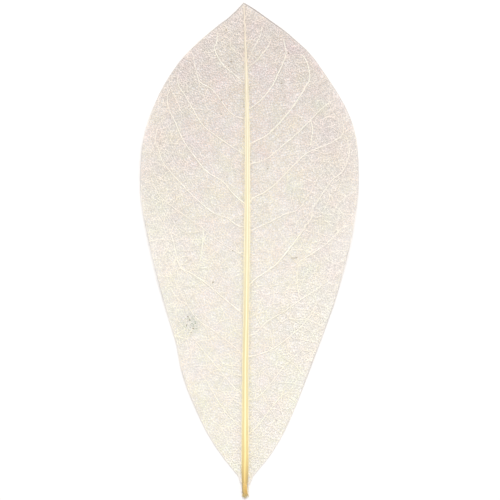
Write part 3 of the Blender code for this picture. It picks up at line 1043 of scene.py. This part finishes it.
def ramp(group, source, stops):
    node = group.nodes.new("ShaderNodeValToRGB")
    elements = node.color_ramp.elements
    while len(elements) < len(stops):
        elements.new(0.5)
    for element, (place, colour) in zip(elements, stops):
        element.position = place
        element.color = toLinear(colour)
    group.links.new(source, node.inputs["Fac"])
    return node.outputs["Color"]


def splitPlace(group, place):
    parts = group.nodes.new("ShaderNodeSeparateXYZ")
    group.links.new(place, parts.inputs[0])
    return parts.outputs["X"], parts.outputs["Y"]


def placeOnLeaf(group):
    coords = group.nodes.new("ShaderNodeTexCoord").outputs["Object"]
    return (coords, *splitPlace(group, coords))


def shadeOnThread(group):
    node = group.nodes.new("ShaderNodeAttribute")
    node.attribute_name = "shade"
    return node.outputs["Fac"]


def newMaterial(name, roughness, tintGroup, specular=0.5, bump=None):
    # tintGroup gives the colour, and the height for the bump where there is one
    material = bpy.data.materials.new(name)
    material.use_nodes = True
    tree = material.node_tree
    shader = tree.nodes["Principled BSDF"]
    shader.inputs["Roughness"].default_value = roughness
    shader.inputs["Specular IOR Level"].default_value = specular
    tint = useGroup(tree, tintGroup)
    tree.links.new(tint.outputs["Colour"], shader.inputs["Base Color"])
    if bump:
        relief = tree.nodes.new("ShaderNodeBump")
        relief.inputs["Strength"].default_value, relief.inputs["Distance"].default_value = bump
        tree.links.new(tint.outputs["Bump"], relief.inputs["Height"])
        tree.links.new(relief.outputs["Normal"], shader.inputs["Normal"])
    return material


# The threads' colours at the tip, the middle and the base of the leaf. Ranges run along the leaf or
# away from a place on it, in metres.

tintValues = {
    "netTip": (237, 226, 217),
    "netMiddle": (251, 244, 232),
    "netBase": (255, 250, 236),
    "veinTip": (255, 251, 238),
    "veinMiddle": (255, 253, 238),
    "veinBase": (255, 254, 235),
    "baseToMiddle": (-0.055, 0.005),
    "middleToTip": (0.0, 0.060),
    "cloudSize": 190.0,
    "cloudDepth": (0.12, 0.14, 0.19),
    "cloudFloor": (0.942, 0.93, 0.905),
    "contrastOver": (-0.040, 0.050),
    "contrastAtTip": 1.5,
    "fibreSize": 4200.0,
    "fibreDepth": (0.93, 1.04),
    "glow": (255, 246, 202),
    "glowMiddle": -0.0009,
    "glowOver": (0.0007, 0.0022),
    "glowFades": (0.030, 0.062),
    "glowAtTip": 0.2,
    "stain": (182, 190, 170),
    "stainPlace": (-0.0182, -0.0222, 0.0004),
    "stainOver": (0.0012, 0.0046),
    "stainSize": 1900.0,
    "stainBroken": (0.50, 0.60),
}


def leafTintGroup():
    # colour by the place on the leaf: paler towards the stalk, golden beside the midrib, faint clouds
    group, start, end = newGroup("leafTint", colourAndBump,
                                 [("Tip", "NodeSocketColor"), ("Middle", "NodeSocketColor"),
                                  ("Base", "NodeSocketColor"), ("Spread", "NodeSocketFloat"),
                                  ("Clouds", "NodeSocketFloat"), ("Glow", "NodeSocketFloat")])
    coords, aside, along = placeOnLeaf(group)
    toMiddle = mapRange(group, along, *tintValues["baseToMiddle"], 0.0, 1.0)
    toTip = mapRange(group, along, *tintValues["middleToTip"], 0.0, 1.0)
    colour = mixColours(group, toMiddle, start.outputs["Base"], start.outputs["Middle"])
    colour = mixColours(group, toTip, colour, start.outputs["Tip"])

    clouds = noiseIn(group, coords, tintValues["cloudSize"], 2.0, 0.5)
    soften = group.nodes.new("ShaderNodeVectorMath")
    soften.operation = "MULTIPLY_ADD"
    soften.inputs[1].default_value = tintValues["cloudDepth"]
    soften.inputs[2].default_value = tintValues["cloudFloor"]
    group.links.new(clouds.outputs["Color"], soften.inputs[0])
    colour = mixColours(group, start.outputs["Clouds"], colour, soften.outputs["Vector"], "MULTIPLY")

    centred = mapRange(group, shadeOnThread(group), 0.0, 1.0, -1.0, 0.6)
    contrast = mapRange(group, along, *tintValues["contrastOver"], 1.0, tintValues["contrastAtTip"])
    contrast = calculate(group, "MULTIPLY", start.outputs["Spread"], contrast)
    fibre = noiseIn(group, coords, tintValues["fibreSize"], 2.0, 0.6)
    grain = mapRange(group, fibre.outputs["Fac"], 0.3, 0.7, *tintValues["fibreDepth"])
    level = calculate(group, "MULTIPLY", calculate(group, "MULTIPLY_ADD", centred, contrast, 1.0), grain)
    colour = shadeBy(group, colour, level)

    away = calculate(group, "ABSOLUTE", calculate(group, "SUBTRACT", aside, tintValues["glowMiddle"]))
    glow = calculate(group, "MULTIPLY", mapRange(group, away, *tintValues["glowOver"], 1.0, 0.0, True),
                     mapRange(group, along, *tintValues["glowFades"], 1.0, tintValues["glowAtTip"]))
    glow = calculate(group, "MULTIPLY", glow, start.outputs["Glow"])
    colour = mixColours(group, glow, colour, toLinear(tintValues["glow"]), "MULTIPLY")

    distance = group.nodes.new("ShaderNodeVectorMath")
    distance.operation = "DISTANCE"
    distance.inputs[1].default_value = tintValues["stainPlace"]
    group.links.new(coords, distance.inputs[0])
    broken = noiseIn(group, coords, tintValues["stainSize"], 2.0, 0.6)
    patch = mapRange(group, distance.outputs["Value"], *tintValues["stainOver"], 1.0, 0.0, True)
    blotch = mapRange(group, broken.outputs["Fac"], *tintValues["stainBroken"], 0.0, 1.0, True)
    colour = mixColours(group, calculate(group, "MULTIPLY", patch, blotch), colour,
                        toLinear(tintValues["stain"]))
    group.links.new(colour, end.inputs["Colour"])
    group.links.new(fibre.outputs["Fac"], end.inputs["Bump"])
    return group


leafTint = leafTintGroup()


def tintFor(tree, kind, spread, clouds, glow):
    tint = useGroup(tree, leafTint)
    for place in ("Tip", "Middle", "Base"):
        tint.inputs[place].default_value = toLinear(tintValues[kind + place])
    tint.inputs["Spread"].default_value = spread
    tint.inputs["Clouds"].default_value = clouds
    tint.inputs["Glow"].default_value = glow
    return tint


def netTintGroup(name, spread, clouds, glow):
    group, start, end = newGroup(name, colourAndBump)
    tint = tintFor(group, "net", spread, clouds, glow)
    group.links.new(tint.outputs["Colour"], end.inputs["Colour"])
    group.links.new(tint.outputs["Bump"], end.inputs["Bump"])
    return group


def veinTintGroup():
    # a side vein goes from the net's colours to its own, by the shade drawn along it
    group, start, end = newGroup("veinTint", colourAndBump)
    plain = tintFor(group, "net", 0.0, 0.6, 0.3)
    clear = tintFor(group, "vein", 0.0, 0.25, 0.2)
    colour = mixColours(group, shadeOnThread(group), plain.outputs["Colour"], clear.outputs["Colour"])
    group.links.new(colour, end.inputs["Colour"])
    group.links.new(clear.outputs["Bump"], end.inputs["Bump"])
    return group


# The midrib's colours along its length, on its middle ridge and on its flanks. The paler ridge is partly
# the midrib's own colour and partly a painted highlight, and the darker, more golden flanks are partly
# its own gold and partly painted shade. Its UV runs once round it in U and from the cut end to the tip in
# V, and the ridge is a quarter of the way round.

midribColours = {
    # ridge colours: the midrib's own pale gold with a painted highlight
    "ridge": [(0.0, (222, 200, 150)), (0.015, (240, 204, 132)), (0.04, (252, 219, 140)),
              (0.085, (253, 246, 176)), (0.15, (255, 252, 206)), (0.32, (255, 252, 210)),
              (0.48, (255, 248, 218)), (0.62, (255, 247, 216)), (0.86, (252, 241, 220)),
              (1.0, (248, 237, 222))],
    # flank colours: the midrib's own gold, darkened by painted shade
    "flankColourAndShade": [(0.0, (180, 164, 124)), (0.015, (196, 168, 112)), (0.04, (218, 188, 122)),
              (0.085, (240, 214, 150)), (0.15, (242, 224, 166)), (0.32, (238, 224, 178)),
              (0.48, (240, 228, 190)), (0.62, (240, 230, 196)), (1.0, (238, 226, 210))],
    "ridgeMiddle": (0.25, 0.234),
    "ridgeMoves": (0.16, 0.34),
    "flankFrom": (0.012, 0.054),
    "streaks": (34.0, 26.0, 1.0),
    "streakDepth": (0.88, 1.07),
    "edge": (166, 146, 102),
    "edgeFrom": (0.10, 0.18),
    "edgeFades": (0.01, 0.07),
    "edgeStrength": 0.4,
    "mark": (196, 176, 128),
    "marksFrom": (0.70, 0.76),
    "markStrength": 0.5,
}


def midribGroup():
    group, start, end = newGroup("midribBands", colourAndBump)
    uv = group.nodes.new("ShaderNodeUVMap")
    uv.uv_map = "UVMap"
    around, along = splitPlace(group, uv.outputs["UV"])
    # from about a third of the way up, the ridge and its painted highlight sit a little right of the top
    middle = mapRange(group, along, *midribColours["ridgeMoves"], *midribColours["ridgeMiddle"])
    away = calculate(group, "ABSOLUTE", calculate(group, "SUBTRACT", around, middle))
    # mask from the ridge's painted highlight to the flanks' painted shade
    flankColourAndShade = mapRange(group, away, *midribColours["flankFrom"], 0.0, 1.0, True)
    colour = mixColours(group, flankColourAndShade, ramp(group, along, midribColours["ridge"]),
                        ramp(group, along, midribColours["flankColourAndShade"]))
    stretch = group.nodes.new("ShaderNodeMapping")
    stretch.inputs["Scale"].default_value = midribColours["streaks"]
    group.links.new(uv.outputs["UV"], stretch.inputs["Vector"])
    streaks = noiseIn(group, stretch.outputs["Vector"], 1.0, 4.0, 0.65)
    level = mapRange(group, streaks.outputs["Fac"], 0.3, 0.7, *midribColours["streakDepth"])
    colour = shadeBy(group, colour, level)
    edge = mapRange(group, away, *midribColours["edgeFrom"], 0.0, 1.0, True)
    low = mapRange(group, along, *midribColours["edgeFades"], midribColours["edgeStrength"], 0.0, True)
    colour = mixColours(group, calculate(group, "MULTIPLY", edge, low), colour,
                        toLinear(midribColours["edge"]))
    marks = noiseIn(group, stretch.outputs["Vector"], 0.35, 2.0, 0.5)
    marked = mapRange(group, marks.outputs["Fac"], *midribColours["marksFrom"], 0.0,
                      midribColours["markStrength"], True)
    colour = mixColours(group, marked, colour, toLinear(midribColours["mark"]))
    group.links.new(colour, end.inputs["Colour"])
    group.links.new(streaks.outputs["Fac"], end.inputs["Bump"])
    return group


stalkColours = {
    "along": [(0.0, (212, 200, 158)), (0.012, (212, 188, 128)), (0.03, (228, 190, 112)),
              (0.07, (240, 204, 126)), (0.12, (251, 230, 176)), (0.2, (255, 244, 206)),
              (0.45, (254, 246, 216)), (1.0, (252, 244, 218))],
    "over": (-0.075, -0.020),
    "grainSize": 2600.0,
    "grainDepth": (0.86, 1.06),
}


def stalkGroup():
    group, start, end = newGroup("stalkTint", [("Colour", "NodeSocketColor")])
    coords, _, along = placeOnLeaf(group)
    colour = ramp(group, mapRange(group, along, *stalkColours["over"], 0.0, 1.0), stalkColours["along"])
    grain = noiseIn(group, coords, stalkColours["grainSize"], 3.0, 0.6)
    level = mapRange(group, grain.outputs["Fac"], 0.3, 0.7, *stalkColours["grainDepth"])
    group.links.new(shadeBy(group, colour, level), end.inputs["Colour"])
    return group


speckColours = {"dark": (150, 138, 118), "light": (176, 164, 142), "lumpSize": 6000.0}


def speckGroup():
    group, start, end = newGroup("speckTint", [("Colour", "NodeSocketColor")])
    coords = placeOnLeaf(group)[0]
    lumps = noiseIn(group, coords, speckColours["lumpSize"], 2.0, 0.6)
    factor = mapRange(group, lumps.outputs["Fac"], 0.35, 0.65, 0.0, 1.0)
    colour = mixColours(group, factor, toLinear(speckColours["dark"]), toLinear(speckColours["light"]))
    group.links.new(colour, end.inputs["Colour"])
    return group


# The margin's colours: pale, with a grey painted shadow line in patches, and a darker painted shadow at
# the tip, more so on its right side.

marginColours = {
    "pale": (246, 240, 229),
    # grey of the painted shadow line along the margin
    "paintedShadow": (214, 209, 203),
    # darker grey of the painted shadow at the tip
    "tip": (172, 164, 160),
    "patchSize": 70.0,
    "patchesFrom": (0.38, 0.56),
    "tipFrom": (0.058, 0.072),
    "stalkFades": (-0.058, -0.032),
    "rightFrom": (-0.002, 0.0),
}


def marginGroup():
    group, start, end = newGroup("marginTint", [("Colour", "NodeSocketColor")])
    coords, aside, along = placeOnLeaf(group)
    patches = noiseIn(group, coords, marginColours["patchSize"], 3.0, 0.6)
    # patches of painted shadow along the margin, fading towards the stalk
    paintedShadow = mapRange(group, patches.outputs["Fac"], *marginColours["patchesFrom"], 0.15, 1.0, True)
    nearTip = mapRange(group, along, *marginColours["tipFrom"], 0.0, 1.0, True)
    aboveStalk = mapRange(group, along, *marginColours["stalkFades"], 0.3, 1.0)
    rightSide = mapRange(group, aside, *marginColours["rightFrom"], 0.6, 1.0)
    colour = mixColours(group, calculate(group, "MULTIPLY", paintedShadow, aboveStalk),
                        toLinear(marginColours["pale"]), toLinear(marginColours["paintedShadow"]))
    # the painted shadow at the tip is strongest on the right side
    colour = mixColours(group, calculate(group, "MULTIPLY", nearTip, rightSide), colour,
                        toLinear(marginColours["tip"]))
    group.links.new(colour, end.inputs["Colour"])
    return group


def plainPaint(name, colour, roughness):
    material = bpy.data.materials.new(name)
    material.use_nodes = True
    shader = material.node_tree.nodes["Principled BSDF"]
    shader.inputs["Base Color"].default_value = (*colour, 1.0)
    shader.inputs["Roughness"].default_value = roughness
    return material


fibreBump, midribBump = 0.00002, 0.00006
netFibre = newMaterial("netFibre", 0.75, netTintGroup("netTint", 0.15, 1.0, 0.35), 0.2, (0.4, fibreBump))
byPiece = {
    "sideVeins": newMaterial("veinFibre", 0.65, veinTintGroup(), 0.2, (0.3, fibreBump)),
    "crossVeins": newMaterial("crossFibre", 0.7, netTintGroup("crossTint", 0.06, 0.6, 0.2), 0.2,
                              (0.4, fibreBump)),
    "midrib": newMaterial("midribFibre", 0.55, midribGroup(), 0.25, (0.5, midribBump)),
    "stalkFibres": newMaterial("stalkFibre", 0.6, stalkGroup()),
    "specks": newMaterial("speckCrumb", 0.8, speckGroup()),
    "marginVein": newMaterial("marginFibre", 0.7, marginGroup()),
}
for name, piece in pieces.items():
    piece.data.materials.clear()
    piece.data.materials.append(byPiece.get(name, netFibre))
    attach(piece, "root")
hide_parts("leaf")
print("materials made")


# Floor, light and camera

stageValues = {
    "floorColour": (0.93, 0.91, 0.905),
    "floorSize": 1.5,
    "floorDrop": 0.25,
    "sky": 0.67,
    "lampPower": 8.7,
    "lampSize": 0.8,
    "lampPlace": (0.08, 0.54, 1.0),
    "lens": 200.0,
    "fieldWidth": 151.5,
    "centre": (0.2, 0.15),
}


def makeStage():
    board = bmesh.new()
    bmesh.ops.create_grid(board, x_segments=1, y_segments=1, size=stageValues["floorSize"])
    mesh = bpy.data.meshes.new("floor")
    board.to_mesh(mesh)
    board.free()
    floor = bpy.data.objects.new("floor", mesh)
    floor.location.z = -stageValues["floorDrop"] * mm
    bpy.context.scene.collection.objects.link(floor)
    floor.data.materials.append(plainPaint("floorWhite", stageValues["floorColour"], 0.9))
    world = bpy.data.worlds.new("studio")
    bpy.context.scene.world = world
    world.use_nodes = True
    sky = world.node_tree.nodes["Background"]
    sky.inputs["Color"].default_value = (1.0, 1.0, 1.0, 1.0)
    sky.inputs["Strength"].default_value = stageValues["sky"]
    lamp = bpy.data.lights.new("softbox", "AREA")
    lamp.shape = "SQUARE"
    lamp.size = stageValues["lampSize"]
    lamp.energy = stageValues["lampPower"]
    holder = bpy.data.objects.new("softbox", lamp)
    holder.location = stageValues["lampPlace"]
    holder.rotation_euler = (-holder.location).to_track_quat("-Z", "Y").to_euler()
    bpy.context.scene.collection.objects.link(holder)


def makeCamera():
    camera = bpy.data.cameras.new("camera")
    camera.lens = stageValues["lens"]
    camera.sensor_width = 36.0
    holder = bpy.data.objects.new("camera", camera)
    x, y = stageValues["centre"]
    distance = stageValues["fieldWidth"] * mm * camera.lens / camera.sensor_width
    holder.location = (x * mm, y * mm, distance)
    bpy.context.scene.collection.objects.link(holder)
    bpy.context.scene.camera = holder


makeStage()
makeCamera()
bpy.context.scene.view_settings.view_transform = "Standard"
print("stage, light and camera set")

for name, piece in pieces.items():
    print(name, "triangles", sum(len(p.vertices) - 2 for p in piece.data.polygons))
